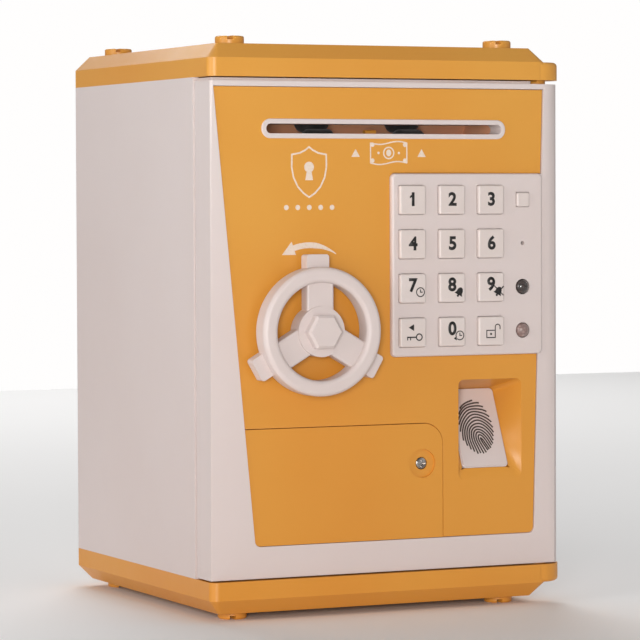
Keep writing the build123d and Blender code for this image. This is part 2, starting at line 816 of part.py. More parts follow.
def chute_guides(y1, gap):
    """The sloping plates behind the rollers that turn a note down and out at the back."""
    top = slot_z + gap
    low = slot_z - chute_drop
    turn_y = pinch_y + 5.1
    upper = outline(
        (turn_y, top + chute_skin), (turn_y, top), (y1 - 1.4, low),
        (y1, low), (y1, low + chute_skin), (turn_y + 1.5, top + chute_skin),
    )
    start = slot_z - gap
    floor_y = pinch_y + 4.0
    lower = outline(
        (floor_y - chute_skin, start - chute_skin), (floor_y, start), (y1, low - chute_passage),
        (y1, low - chute_passage - 1.6), (floor_y, start - 2 * chute_skin),
    )
    return along_x(upper + lower, chute_left - 0.5, chute_right + 0.5)


def note_chute():
    low, high = slot_z - chute_drop - chute_passage - 2.0, slot_z + 9.0
    y0, y1 = bezel_depth + 0.3, deep_back - cover_wall - 0.2
    gap = slot_height / 2 + 0.1
    sides = block(chute_left - 1.5, chute_left, y0, y1 - 2.5, low, high)
    sides += block(chute_right, chute_right + 1.5, y0, y1, low, high)
    sides += block(chute_right, chute_right + 1.5, feed_y - 9, feed_y + 9, motor_z - 11, slot_z)
    x0, x1 = chute_left - 0.5, chute_right + 0.5
    roof = block(x0, x1, y0, pinch_y - 5.1, slot_z + gap, slot_z + gap + chute_skin)
    floor = block(x0, x1, y0, feed_y - 5.1, slot_z - gap - chute_skin, slot_z - gap)
    floor += block(x0, x1, feed_y + 5.1, pinch_y + 4.0, slot_z - gap - chute_skin, slot_z - gap)
    shape = sides + roof + floor + chute_guides(y1, gap)
    shape -= block(slot_center_x - 2.5, slot_center_x + 2.5, lever_y - 1.6, feed_y, slot_z - 4, slot_z)
    for side in (-1, 1):
        x = slot_center_x + side * 4.2
        lug = block(x - 0.6, x + 0.6, lever_y - 2.2, lever_y + 2.2, lever_z - 2.2, slot_z - gap - 0.5)
        shape += lug - along_x(disc(lever_y, lever_z, 1.05), x - 1, x + 1)
    run = roller_axle_radius + running_clearance
    for y, z in ((pinch_y, pinch_z), (feed_y, feed_z)):
        shape -= along_x(disc(y, z, run), chute_left - 3, chute_right + 3)
    shape += along_x(disc(feed_y, idler_z, roller_axle_radius), chute_right + 1.0, gear_x1 + 0.4)
    shape -= along_x(disc(feed_y, motor_z, 3.1), chute_right - 1, chute_right + 3)
    return shape


lever_z = slot_z - 7.0


def sensor_lever():
    arm = block(slot_center_x - 2.0, slot_center_x + 2.0, lever_y - 1.0, lever_y + 1.0, lever_z, slot_z - 0.1)
    arm = fillet(arm.edges().filter_by(Axis.X).group_by(Axis.Z)[-1], 0.8)
    hub = along_x(disc(lever_y, lever_z, 1.8), slot_center_x - 3.2, slot_center_x + 3.2)
    pin = along_x(disc(lever_y, lever_z, 1.0), slot_center_x - 5.0, slot_center_x + 5.0)
    return arm + hub + pin


def feed_motor():
    x1 = chute_right
    x0 = x1 - motor_length
    can = along_x(disc(feed_y, motor_z, motor_radius), x0, x1)
    can &= block(x0 - 1, x1 + 1, feed_y - motor_half_depth, feed_y + motor_half_depth,
                 motor_z - 20, motor_z + 20)
    nose = along_x(disc(feed_y, motor_z, 2.9), x1, x1 + 1.3)
    spindle = along_x(disc(feed_y, motor_z, 0.95), x1, gear_x1 + 0.3)
    return can + nose + spindle


# ---- battery bay ----
def cell_rows():
    low = panel_bottom + seat_width + 0.2 + bay_wall + cell_clearance + cell_radius
    return [low + row * (2 * cell_radius + cell_clearance) for row in range(3)]


bay_left = panel_left_at(cover_top) + seat_width + 3.6
bay_right = bay_left + bay_length + 2 * bay_wall
bay_front = panel_back + 1.7
cell_y = bay_front + cell_radius - 0.6
bay_back = cell_y + cell_radius + cell_clearance + bay_wall


def battery_box():
    rows = cell_rows()
    z0 = rows[0] - cell_radius - cell_clearance - bay_wall
    z1 = rows[-1] + cell_radius + cell_clearance + bay_wall
    shape = block(bay_left, bay_right, bay_front, bay_back, z0, z1)
    shape -= block(bay_left + bay_wall, bay_right - bay_wall, bay_front - 1, bay_back - bay_wall,
                   z0 + bay_wall, z1 - bay_wall)
    lug = block(bay_right - 0.5, cover_screw_x + 4.0, panel_back + 2.1, 13.5, cover_screw_z - 5, cover_screw_z + 5)
    shape += lug
    shape -= along_y(disc(cover_screw_x, cover_screw_z, cover_screw_radius + 0.1), 0, 12.7)
    return shape


def battery_cells():
    x0 = bay_left + bay_wall + 0.4
    x1 = bay_right - bay_wall - 0.4
    solids = []
    for row, z in enumerate(cell_rows()):
        nub_right = row % 2 == 0
        start, end = (x1 - cell_length, x1) if nub_right else (x0, x0 + cell_length)
        can_start, can_end = (start, end - 1.0) if nub_right else (start + 1.0, end)
        can = along_x(disc(cell_y, z, cell_radius), can_start, can_end)
        can = fillet(can.edges(), 0.4)
        solids.append(can + along_x(disc(cell_y, z, 1.9), start, end))
    return solids


def battery_contacts():
    solids = []
    x0 = bay_left + bay_wall
    x1 = bay_right - bay_wall
    gap = x1 - x0 - 0.8 - cell_length
    wire = 0.35
    for row, z in enumerate(cell_rows()):
        for x, inward in ((x0, 1), (x1, -1)):
            near, far = sorted((x, x + inward * 0.4))
            plate_part = block(near, far, cell_y - 3.8, cell_y + 3.8, z - 4.2, z + 4.2)
            springy = (row % 2 == 0) == (inward == 1)
            if springy:
                coil = Helix(pitch=(gap - 2 * wire) / 3, height=gap - 2 * wire, radius=2.9)
                ring = Plane(coil @ 0, z_dir=coil % 0) * Circle(wire)
                start = x + inward * (0.4 + wire)
                spring = Pos(start, cell_y, z) * Rot(0, 90 * inward, 0) * sweep(ring, path=coil)
                solids.append(spring)
            solids.append(plate_part)
    return solids


def battery_cover():
    form = panel_outline() & cover_region()
    shape = along_y(form, panel_front, panel_back)
    shape += along_y(disc(cover_screw_x, cover_screw_z, 4.0), panel_back - 0.5, panel_back + 1.9)
    shape -= along_y(disc(cover_screw_x, cover_screw_z, 4.8), -1, panel_front + 0.9)
    shape -= along_y(disc(cover_screw_x, cover_screw_z, 2.1), -1, panel_front + 2.2)
    shape -= along_y(disc(cover_screw_x, cover_screw_z, cover_screw_radius + 0.1), -1, 9)
    return shape


def cross_recess(x, z, y0, depth):
    shape = block(x - 1.25, x + 1.25, y0 - 1, y0 + depth, z - 0.3, z + 0.3)
    return shape + block(x - 0.3, x + 0.3, y0 - 1, y0 + depth, z - 1.25, z + 1.25)


def cover_screw():
    x, z = cover_screw_x, cover_screw_z
    front = panel_front + 0.75
    head = along_y(disc(x, z, 2.0), front, panel_front + 2.2)
    head = fillet(head.edges().group_by(Axis.Y)[0], 0.5)
    shank = along_y(disc(x, z, cover_screw_radius), panel_front + 2.2, 12.4)
    return head + shank - cross_recess(x, z, front, 0.9)


# ---- inner cover ----
def back_cover():
    skirt_left = door_left + wall + 0.2
    skirt_low = door_bottom + wall + 0.2
    skirt_high = door_top - wall - 0.2
    flange_y = door_thickness - cover_wall
    shallow = block(skirt_left, deep_right, door_plate + 0.1, door_thickness, skirt_low, skirt_high)
    shallow -= block(skirt_left + cover_wall, deep_right - cover_wall, 0, flange_y,
                     skirt_low + cover_wall, skirt_high - cover_wall)
    deep = block(cover_left_x, deep_right, flange_y, deep_back, deep_bottom, deep_top)
    deep = chamfer(deep.edges().filter_by(Axis.Z).sort_by(Axis.Y)[-2:].sort_by(Axis.X)[0], deep_bevel)
    hollow = block(cover_left_x + cover_wall, deep_right - cover_wall, flange_y - 1, deep_back - cover_wall,
                   deep_bottom + cover_wall, deep_top - cover_wall)
    trim = deep_bevel - 0.6 * cover_wall
    hollow = chamfer(hollow.edges().filter_by(Axis.Z).sort_by(Axis.Y)[-2:].sort_by(Axis.X)[0], trim)
    shape = shallow + deep - hollow
    exit_half = slot_length / 2 + 1
    shape -= block(slot_center_x - exit_half, slot_center_x + exit_half, deep_back - 4, deep_back + 1,
                   slot_z - chute_drop - chute_passage + 0.2, slot_z - chute_drop - 0.2)
    window = 0.2
    shape -= block(cover_left_x - 1, cover_left_x + cover_wall + 0.1, bolt_y0 - window, bolt_y1 + window,
                   bolt_low - window, bolt_top + window)
    back = deep_back - cover_wall
    for z0, z1 in ((bolt_low - 2.3, bolt_low - 0.15), (bolt_top + 0.15, bolt_top + 1.6)):
        length = 9.0 if z0 < bolt_low else 5.0
        shape += block(cover_left_x + 0.5, cover_left_x + length, bolt_y0 + 0.5, back - 4, z0, z1)
    shape += block(cover_left_x + 0.5, cover_left_x + 9.0, bolt_y1 + 0.15, back - 4, bolt_low - 2.3, bolt_top + 0.1)
    shape += block(plunger_x - 3.5, plunger_x + 6.5, bolt_mid_y + 6.5, back + 0.1, frame_bottom + 1, frame_top - 1)
    for x, z in screw_places:
        shape += along_y(disc(x, z, 4.3), 13.9, back + 0.1)
        shape -= along_y(disc(x, z, 3.0), 16.0, deep_back + 1)
        shape -= along_y(disc(x, z, 1.45), 13, 17)
    for count in range(7):
        ring = 0 if count == 6 else 6
        x = speaker_x + ring * cos(radians(60 * count))
        z = speaker_z + ring * sin(radians(60 * count))
        shape -= along_y(disc(x, z, 1.3), back - 1, deep_back + 1)
    return shape


speaker_x = 24.0
speaker_z = door_bottom + 33.0


def speaker():
    back = deep_back - cover_wall
    shape = along_y(disc(speaker_x, speaker_z, 13.0), back - 2.0, back)
    shape += along_y(disc(speaker_x, speaker_z, 9.0), back - 4.5, back - 1.9)
    return shape


def door_screws():
    solids = []
    for x, z in screw_places:
        head = along_y(disc(x, z, 2.5), 16.0, 18.0)
        shank = along_y(disc(x, z, 1.25), 6.0, 16.0)
        drive = block(x - 1.2, x + 1.2, 17.2, 19, z - 0.3, z + 0.3)
        drive += block(x - 0.3, x + 0.3, 17.2, 19, z - 1.2, z + 1.2)
        solids.append(head + shank - drive)
    return solids


def wire(*points):
    corners = points[1:-1]
    radii = []
    for before, here, after in zip(points, corners, points[2:]):
        into = Vector(*here) - Vector(*before)
        out = Vector(*after) - Vector(*here)
        turn = radians(into.get_angle(out))
        radii.append(0.45 * min(into.length, out.length) / tan(turn / 2))
    path = FilletPolyline(*points, radius=radii)
    ring = Plane(path @ 0, z_dir=path % 0) * Circle(0.6)
    return sweep(ring, path=path)


def wiring():
    rows = cell_rows()
    top = rows[-1] + cell_radius + cell_clearance + bay_wall
    solids = []
    for shift in (0.0, 2.0):
        solids.append(wire(
            (bay_right - 6 + shift, 10.5, top),
            (bay_right - 6 + shift, 10.5, top + 9),
            (7.0 + shift, 13.0, keypad_bottom + 3),
            (9.0 + shift, 13.0, keypad_bottom + 10.8),
            (9.0 + shift, board_back, keypad_bottom + 10.8),
        ))
    return solids


# ---- all nodes ----
def keypad_nodes():
    nodes = {}
    for name, x, z in key_places():
        nodes[name] = key(x, z, key_size, key_proud, 1.0)
    nodes["reset_button"] = key(side_column_x, side_z(0), button_size, 0.8, 0.8)
    nodes["keypad_membrane"] = keypad_membrane()
    nodes["keypad_board"] = keypad_board()
    nodes["ready_led"] = led(2)
    nodes["alarm_led"] = led(3)
    return nodes


def cabinet_nodes():
    return {
        "body_shell": body_shell(),
        "top_cap": place_top(cap(door_gap_top - boss_clearance, True)),
        "bottom_cap": place_bottom(cap(door_gap_bottom - boss_clearance, False)),
        "top_studs": [place_top(stud(x, y, stud_height)) for x, y in stud_places()],
        "feet": [place_bottom(stud(x, y, foot_height)) for x, y in stud_places()],
        "hinge_pins": hinge_pins(),
        "cap_screws": cap_screws(),
        "strike_plate": strike_plate(),
        "strike_screws": strike_screws(),
    }


def door_nodes():
    return {
        "door_frame": door_frame(),
        "front_panel": front_panel(),
        "slot_bezel": slot_bezel(),
        "fingerprint_pad": fingerprint_pad(),
        "back_cover": back_cover(),
        "speaker": speaker(),
        "door_screws": door_screws(),
        "battery_box": battery_box(),
        "battery_cells": battery_cells(),
        "battery_contacts": battery_contacts(),
        "battery_cover": battery_cover(),
        "cover_screw": cover_screw(),
        "wiring": wiring(),
    }


def lock_nodes():
    return {
        "wheel_knob": wheel_knob(),
        "knob_cap": knob_cap(),
        "knob_shaft": knob_shaft(),
        "lock_crank": lock_crank(),
        "lock_bolt": lock_bolt(),
        "solenoid_frame": solenoid_frame(),
        "solenoid_coil": solenoid_coil(),
        "solenoid_plunger": solenoid_plunger(),
        "plunger_spring": plunger_spring(),
    }


def feeder_nodes():
    pinion, idler, feed, pinch = gear_phases()
    on_axle = roller_axle_radius
    return {
        "note_chute": note_chute(),
        "feed_motor": feed_motor(),
        "motor_pinion": gear(pinion_teeth, pinion, feed_y, motor_z, 1.0, gear_x0, gear_x1),
        "idler_gear": gear(idler_teeth, idler, feed_y, idler_z, on_axle + running_clearance, gear_x0, gear_x1),
        "feed_gear": gear(roller_teeth, feed, feed_y, feed_z, on_axle, gear_x0, gear_x1),
        "pinch_gear": gear(roller_teeth, pinch, pinch_y, pinch_z, on_axle, gear_x0, gear_x1),
        "feed_shaft": axle(feed_y, feed_z),
        "pinch_shaft": axle(pinch_y, pinch_z),
        "feed_rollers": rollers(feed_y, feed_z),
        "pinch_rollers": rollers(pinch_y, pinch_z),
        "sensor_lever": sensor_lever(),
    }


def write_all():
    os.makedirs("parts", exist_ok=True)
    middle_x = (left + hinge_x + ear_radius) / 2
    middle_y = (cabinet_depth - nut_reach) / 2
    home = Location((-middle_x, -middle_y, 0))
    nodes = {**cabinet_nodes(), **door_nodes(), **keypad_nodes(), **lock_nodes(), **feeder_nodes()}
    for name, shape in nodes.items():
        if isinstance(shape, list):
            solids = [solid for piece in shape for solid in piece.solids()]
        else:
            solids = shape.solids()
        group = Compound(children=[solid.moved(home) for solid in solids])
        export_step(group if len(solids) > 1 else solids[0].moved(home), f"parts/{name}.step")
    print(len(nodes), "nodes")
    print("row centre", round(middle_x, 3), round(middle_y, 3))


write_all()
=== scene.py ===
import itertools
import json
from math import cos, pi, radians, sin
import bmesh
import bpy
from mathutils import Matrix, Vector


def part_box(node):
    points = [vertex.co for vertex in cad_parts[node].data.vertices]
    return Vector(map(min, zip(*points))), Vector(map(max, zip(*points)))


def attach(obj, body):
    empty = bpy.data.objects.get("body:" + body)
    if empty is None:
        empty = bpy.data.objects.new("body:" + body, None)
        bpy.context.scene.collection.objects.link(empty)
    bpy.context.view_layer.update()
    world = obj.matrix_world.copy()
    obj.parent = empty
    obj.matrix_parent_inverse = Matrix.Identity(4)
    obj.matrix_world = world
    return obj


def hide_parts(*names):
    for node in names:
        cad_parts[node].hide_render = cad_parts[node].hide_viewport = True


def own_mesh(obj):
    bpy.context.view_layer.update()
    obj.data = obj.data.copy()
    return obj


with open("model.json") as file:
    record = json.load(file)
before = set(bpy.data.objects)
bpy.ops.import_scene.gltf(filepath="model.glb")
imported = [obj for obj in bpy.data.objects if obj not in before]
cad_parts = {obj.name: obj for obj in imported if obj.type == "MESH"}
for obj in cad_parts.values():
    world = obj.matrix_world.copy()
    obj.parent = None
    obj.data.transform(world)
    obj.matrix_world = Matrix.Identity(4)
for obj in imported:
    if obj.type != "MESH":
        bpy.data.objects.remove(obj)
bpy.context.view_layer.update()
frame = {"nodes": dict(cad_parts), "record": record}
nodes = frame["nodes"]
mm = 0.001
slotOf = {part["node"]: part["material_slot"] for part in frame["record"]["subparts"]}
groups = frame["record"]["behaviour"]["bodies"]
bodyOf = {node: body for body, group in groups.items() for node in group}
print("frame loaded,", len(nodes), "nodes")


# small helpers for node trees
def newMaterial(name):
    material = bpy.data.materials.new(name)
    material.use_nodes = True
    tree = material.node_tree
    tree.nodes.clear()
    output = tree.nodes.new("ShaderNodeOutputMaterial")
    shader = tree.nodes.new("ShaderNodeBsdfPrincipled")
    tree.links.new(shader.outputs["BSDF"], output.inputs["Surface"])
    return material, tree, shader


def objectCoords(tree, stretch=(1, 1, 1), turn=(0, 0, 0)):
    coords = tree.nodes.new("ShaderNodeTexCoord")
    mapping = tree.nodes.new("ShaderNodeMapping")
    mapping.inputs["Scale"].default_value = stretch
    mapping.inputs["Rotation"].default_value = turn
    tree.links.new(coords.outputs["Object"], mapping.inputs["Vector"])
    return mapping.outputs["Vector"]


def noiseOf(tree, vector, scale, detail=3.0, roughness=0.5):
    noise = tree.nodes.new("ShaderNodeTexNoise")
    noise.inputs["Scale"].default_value = scale
    noise.inputs["Detail"].default_value = detail
    noise.inputs["Roughness"].default_value = roughness
    tree.links.new(vector, noise.inputs["Vector"])
    return noise.outputs["Fac"]


def rampOf(tree, value, stops):
    ramp = tree.nodes.new("ShaderNodeValToRGB")
    elements = ramp.color_ramp.elements
    while len(elements) < len(stops):
        elements.new(0.5)
    for element, (place, colour) in zip(elements, stops):
        element.position = place
        element.color = (*colour, 1.0)
    tree.links.new(value, ramp.inputs["Fac"])
    return ramp.outputs["Color"]


def rangeOf(tree, value, low, high, toLow, toHigh):
    mapRange = tree.nodes.new("ShaderNodeMapRange")
    mapRange.inputs["From Min"].default_value = low
    mapRange.inputs["From Max"].default_value = high
    mapRange.inputs["To Min"].default_value = toLow
    mapRange.inputs["To Max"].default_value = toHigh
    tree.links.new(value, mapRange.inputs["Value"])
    return mapRange.outputs["Result"]


def mathOf(tree, operation, first, second):
    node = tree.nodes.new("ShaderNodeMath")
    node.operation = operation
    for socket, value in zip(node.inputs, (first, second)):
        if isinstance(value, (int, float)):
            socket.default_value = value
        else:
            tree.links.new(value, socket)
    return node.outputs["Value"]


def blendOf(tree, factor, first, second, mode="MIX"):
    mix = tree.nodes.new("ShaderNodeMix")
    mix.data_type = "RGBA"
    mix.blend_type = mode
    sockets = (mix.inputs["Factor"], mix.inputs[6], mix.inputs[7])
    for socket, value in zip(sockets, (factor, first, second)):
        if isinstance(value, (int, float)):
            socket.default_value = value
        elif isinstance(value, tuple):
            socket.default_value = (*value, 1.0)
        else:
            tree.links.new(value, socket)
    return mix.outputs[2]


def bumpOf(tree, shader, height, strength, distance):
    bump = tree.nodes.new("ShaderNodeBump")
    bump.inputs["Strength"].default_value = strength
    bump.inputs["Distance"].default_value = distance
    tree.links.new(height, bump.inputs["Height"])
    tree.links.new(bump.outputs["Normal"], shader.inputs["Normal"])


def shade(colour, amount):
    return tuple(min(1.0, channel * amount) for channel in colour)


# moulded plastic: cloudy colour, fine satin grain, faint handling scuffs, and painted shade: the colour is
# deeper and warmer low down and paler high up, as the light falls off
# height in metres where the painted shade gradient reaches its top value
shadeGradeTop = 0.19
orangePlastic = {
    "colour": (0.735, 0.335, 0.046), "warm": (0.715, 0.300, 0.037), "cloud": 14.0, "rough": 0.40,
    "paintedShadeLow": (0.93, 0.86, 0.76), "paintedLightHigh": (1.0, 1.05, 1.25),
    "grain": 2600.0, "grainDepth": 0.00003, "scuff": 0.03, "translucency": 0.0, "coat": 0.04,
}
whitePlastic = {
    "colour": (0.71, 0.630, 0.612), "warm": (0.69, 0.602, 0.580), "cloud": 11.0, "rough": 0.42,
    "paintedShadeLow": (0.94, 0.91, 0.90), "paintedLightHigh": (1.02, 1.02, 1.02),
    "grain": 2400.0, "grainDepth": 0.00003, "scuff": 0.03, "translucency": 0.06, "coat": 0.0,
}
keyPlastic = {
    "colour": (0.72, 0.635, 0.605), "warm": (0.70, 0.61, 0.575), "cloud": 40.0, "rough": 0.36,
    "paintedShadeLow": (1.0, 1.0, 1.0), "paintedLightHigh": (1.0, 1.0, 1.0),
    "grain": 3200.0, "grainDepth": 0.00002, "scuff": 0.03, "translucency": 0.06, "coat": 0.05,
}
gearPlastic = {
    "colour": (0.78, 0.75, 0.67), "warm": (0.74, 0.70, 0.60), "cloud": 60.0, "rough": 0.45,
    "paintedShadeLow": (1.0, 1.0, 1.0), "paintedLightHigh": (1.0, 1.0, 1.0),
    "grain": 2600.0, "grainDepth": 0.00002, "scuff": 0.03, "translucency": 0.10, "coat": 0.0,
}

# painted light: a paler, brighter copy of the orange plastic for the chute inside the slot, standing in for
# light falling into that shaded interior
chutePaintedLitPlastic = {
    "colour": (0.93, 0.50, 0.30), "warm": (0.88, 0.44, 0.25), "cloud": 50.0, "rough": 0.50,
    "paintedShadeLow": (1.0, 1.0, 1.0), "paintedLightHigh": (1.0, 1.0, 1.0),
    "grain": 2600.0, "grainDepth": 0.00002, "scuff": 0.03, "translucency": 0.10, "coat": 0.0,
}


def plasticMaterial(name, look):
    material, tree, shader = newMaterial(name)
    plain = objectCoords(tree)
    cloud = noiseOf(tree, plain, look["cloud"], 2.0)
    base = rampOf(tree, cloud, ((0.35, look["warm"]), (0.65, look["colour"])))
    streaks = noiseOf(tree, objectCoords(tree, (1, 1, 0.12), (0.3, 0.5, 0.2)), 420.0, 4.0, 0.7)
    scuffs = rangeOf(tree, streaks, 0.60, 0.74, 0.0, look["scuff"])
    base = blendOf(tree, scuffs, base, shade(look["colour"], 1.25))
    # painted shade and painted light: the base colour is multiplied by a tint that runs from darker at the
    # bottom to paler at the top
    parts = tree.nodes.new("ShaderNodeSeparateXYZ")
    tree.links.new(plain, parts.inputs["Vector"])
    height = rangeOf(tree, parts.outputs["Z"], 0.0, shadeGradeTop, 0.0, 1.0)
    tint = blendOf(tree, height, look["paintedShadeLow"], look["paintedLightHigh"])
    tree.links.new(blendOf(tree, 1.0, base, tint, "MULTIPLY"), shader.inputs["Base Color"])
    grain = noiseOf(tree, plain, look["grain"], 2.0)
    patches = noiseOf(tree, plain, 55.0, 4.0, 0.6)
    rough = rangeOf(tree, patches, 0.3, 0.7, look["rough"] - 0.04, look["rough"] + 0.05)
    rough = mathOf(tree, "ADD", rough, mathOf(tree, "MULTIPLY", scuffs, 1.5))
    tree.links.new(rough, shader.inputs["Roughness"])
    bumpOf(tree, shader, grain, 0.35, look["grainDepth"])
    shader.inputs["IOR"].default_value = 1.49
    shader.inputs["Coat Weight"].default_value = look["coat"]
    shader.inputs["Coat Roughness"].default_value = 0.25
    shader.inputs["Subsurface Weight"].default_value = look["translucency"]
    shader.inputs["Subsurface Radius"].default_value = (0.9, 0.7, 0.5)
    shader.inputs["Subsurface Scale"].default_value = 0.002
    return material


# metals: directional brushing, cloudy plating
steelLook = {"colour": (0.56, 0.56, 0.57), "dull": (0.42, 0.42, 0.43), "rough": 0.28, "brush": 900.0}
chromeLook = {"colour": (0.86, 0.85, 0.84), "dull": (0.20, 0.17, 0.15), "rough": 0.14, "brush": 1500.0}
copperLook = {"colour": (0.72, 0.34, 0.17), "dull": (0.50, 0.20, 0.09), "rough": 0.35, "brush": 2600.0}


def metalMaterial(name, look, stretch=(1, 1, 8)):
    material, tree, shader = newMaterial(name)
    lines = noiseOf(tree, objectCoords(tree, stretch), look["brush"], 3.0, 0.6)
    cloud = noiseOf(tree, objectCoords(tree), 160.0, 3.0)
    plating = rampOf(tree, cloud, ((0.35, look["dull"]), (0.6, look["colour"])))
    tree.links.new(plating, shader.inputs["Base Color"])
    rough = rangeOf(tree, lines, 0.3, 0.7, look["rough"] - 0.07, look["rough"] + 0.10)
    tree.links.new(rough, shader.inputs["Roughness"])
    bumpOf(tree, shader, lines, 0.2, 0.00002)
    shader.inputs["Metallic"].default_value = 1.0
    return material


# rubber, silicone, wire sleeves and the black speaker: dusty matt skins
rubberLook = {
    "colour": (0.018, 0.017, 0.017), "dust": (0.07, 0.065, 0.06),
    "rough": 0.75, "grain": 1400.0, "sheen": 0.2,
}
siliconeLook = {
    "colour": (0.55, 0.56, 0.54), "dust": (0.68, 0.68, 0.66),
    "rough": 0.5, "grain": 900.0, "sheen": 0.1,
}
sleeveLook = {
    "colour": (0.45, 0.03, 0.02), "dust": (0.55, 0.10, 0.07),
    "rough": 0.45, "grain": 1200.0, "sheen": 0.1,
}
speakerLook = {
    "colour": (0.022, 0.022, 0.024), "dust": (0.06, 0.06, 0.062),
    "rough": 0.85, "grain": 700.0, "sheen": 0.3,
}


def dustyMaterial(name, look):
    material, tree, shader = newMaterial(name)
    plain = objectCoords(tree)
    cloud = noiseOf(tree, plain, 220.0, 5.0, 0.65)
    skin = rampOf(tree, cloud, ((0.45, look["colour"]), (0.8, look["dust"])))
    tree.links.new(skin, shader.inputs["Base Color"])
    grain = noiseOf(tree, plain, look["grain"], 3.0)
    rough = rangeOf(tree, grain, 0.3, 0.7, look["rough"] - 0.08, look["rough"] + 0.08)
    tree.links.new(rough, shader.inputs["Roughness"])
    bumpOf(tree, shader, grain, 0.4, 0.00005)
    shader.inputs["Sheen Weight"].default_value = look["sheen"]
    return material


# tinted lamp domes: dark body, cloudier heart, glossy skin
readyLook = {"edge": (0.030, 0.022, 0.020), "heart": (0.10, 0.075, 0.070), "rough": 0.16}
alarmLook = {"edge": (0.24, 0.155, 0.140), "heart": (0.42, 0.30, 0.27), "rough": 0.22}


def lensMaterial(name, look):
    material, tree, shader = newMaterial(name)
    cells = tree.nodes.new("ShaderNodeTexVoronoi")
    cells.inputs["Scale"].default_value = 900.0
    tree.links.new(objectCoords(tree), cells.inputs["Vector"])
    flecks = rangeOf(tree, cells.outputs["Distance"], 0.0, 0.6, 1.0, 0.0)
    tree.links.new(blendOf(tree, flecks, look["edge"], look["heart"]), shader.inputs["Base Color"])
    smears = noiseOf(tree, objectCoords(tree), 700.0, 3.0)
    rough = rangeOf(tree, smears, 0.3, 0.7, look["rough"], look["rough"] + 0.12)
    tree.links.new(rough, shader.inputs["Roughness"])
    shader.inputs["IOR"].default_value = 1.55
    shader.inputs["Coat Weight"].default_value = 0.6
    shader.inputs["Coat Roughness"].default_value = 0.08
    return material


# green board with copper tracks under the mask
boardLook = {"mask": (0.012, 0.10, 0.035), "track": (0.030, 0.17, 0.06), "scale": 330.0}


def boardMaterial(name, look):
    material, tree, shader = newMaterial(name)
    cells = tree.nodes.new("ShaderNodeTexVoronoi")
    cells.distance = "CHEBYCHEV"
    cells.feature = "DISTANCE_TO_EDGE"
    cells.inputs["Scale"].default_value = look["scale"]
    tree.links.new(objectCoords(tree), cells.inputs["Vector"])
    tracks = rangeOf(tree, cells.outputs["Distance"], 0.05, 0.09, 1.0, 0.0)
    tree.links.new(blendOf(tree, tracks, look["mask"], look["track"]), shader.inputs["Base Color"])
    film = noiseOf(tree, objectCoords(tree), 500.0)
    tree.links.new(rangeOf(tree, film, 0.3, 0.7, 0.25, 0.4), shader.inputs["Roughness"])
    bumpOf(tree, shader, tracks, 0.3, 0.00004)
    return material


# battery sleeve: two plain printed bands along the cell, meeting beyond its middle
sleeveBands = {"body": (0.03, 0.10, 0.06), "band": (0.62, 0.60, 0.55), "split": 0.010, "blur": 0.0002}


def cellMaterial(name, look):
    material, tree, shader = newMaterial(name)
    low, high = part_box("battery_cells")
    middle = (low.x + high.x) / 2
    parts = tree.nodes.new("ShaderNodeSeparateXYZ")
    tree.links.new(objectCoords(tree), parts.inputs["Vector"])
    split = middle + look["split"]
    edge = rangeOf(tree, parts.outputs["X"], split, split + look["blur"], 0.0, 1.0)
    tree.links.new(blendOf(tree, edge, look["body"], look["band"]), shader.inputs["Base Color"])
    film = noiseOf(tree, objectCoords(tree), 300.0)
    tree.links.new(rangeOf(tree, film, 0.3, 0.7, 0.28, 0.42), shader.inputs["Roughness"])
    shader.inputs["Metallic"].default_value = 0.3
    return material


# printing ink: slightly uneven film
whiteInk = {"colour": (0.80, 0.67, 0.57), "thin": (0.75, 0.58, 0.43), "rough": 0.5}
blackInk = {"colour": (0.010, 0.009, 0.009), "thin": (0.030, 0.026, 0.024), "rough": 0.42}
brownInk = {"colour": (0.052, 0.034, 0.028), "thin": (0.085, 0.06, 0.052), "rough": 0.5}


def inkMaterial(name, look):
    material, tree, shader = newMaterial(name)
    film = noiseOf(tree, objectCoords(tree), 1500.0, 4.0, 0.6)
    colour = rampOf(tree, film, ((0.30, look["thin"]), (0.50, look["colour"])))
    tree.links.new(colour, shader.inputs["Base Color"])
    rough = rangeOf(tree, film, 0.3, 0.7, look["rough"] + 0.08, look["rough"] - 0.05)
    tree.links.new(rough, shader.inputs["Roughness"])
    bumpOf(tree, shader, film, 0.2, 0.00002)
    return material


materials = {
    "orange_plastic": plasticMaterial("orangePlastic", orangePlastic),
    "white_plastic": plasticMaterial("whitePlastic", whitePlastic),
    "key_plastic": plasticMaterial("keyPlastic", keyPlastic),
    "gear_plastic": plasticMaterial("gearPlastic", gearPlastic),
    "steel": metalMaterial("zincSteel", steelLook),
    "chrome": metalMaterial("brightScrew", chromeLook, (1, 6, 1)),
    "copper_wire": metalMaterial("coilWinding", copperLook, (1, 1, 14)),
    "black_rubber": dustyMaterial("rollerRubber", rubberLook),
    "silicone": dustyMaterial("keySilicone", siliconeLook),
    "wire_sleeve": dustyMaterial("wireSleeve", sleeveLook),
    "speaker_black": dustyMaterial("speakerBlack", speakerLook),
    "dark_lens": lensMaterial("readyLens", readyLook),
    "red_lens": lensMaterial("alarmLens", alarmLook),
    "circuit_board": boardMaterial("greenBoard", boardLook),
    "cell_sleeve": cellMaterial("cellSleeve", sleeveBands),
}
inks = {
    "white": inkMaterial("whiteInk", whiteInk),
    "black": inkMaterial("blackInk", blackInk),
    "brown": inkMaterial("brownInk", brownInk),
}
for node, obj in nodes.items():
    obj.data.materials.clear()
    obj.data.materials.append(materials[slotOf[node]])
# the chute inside the slot gets the painted-light copy of the orange plastic
nodes["note_chute"].data.materials[0] = plasticMaterial("chutePaintedLitPlastic", chutePaintedLitPlastic)
print("materials ready,", len(materials) + len(inks) + 1)


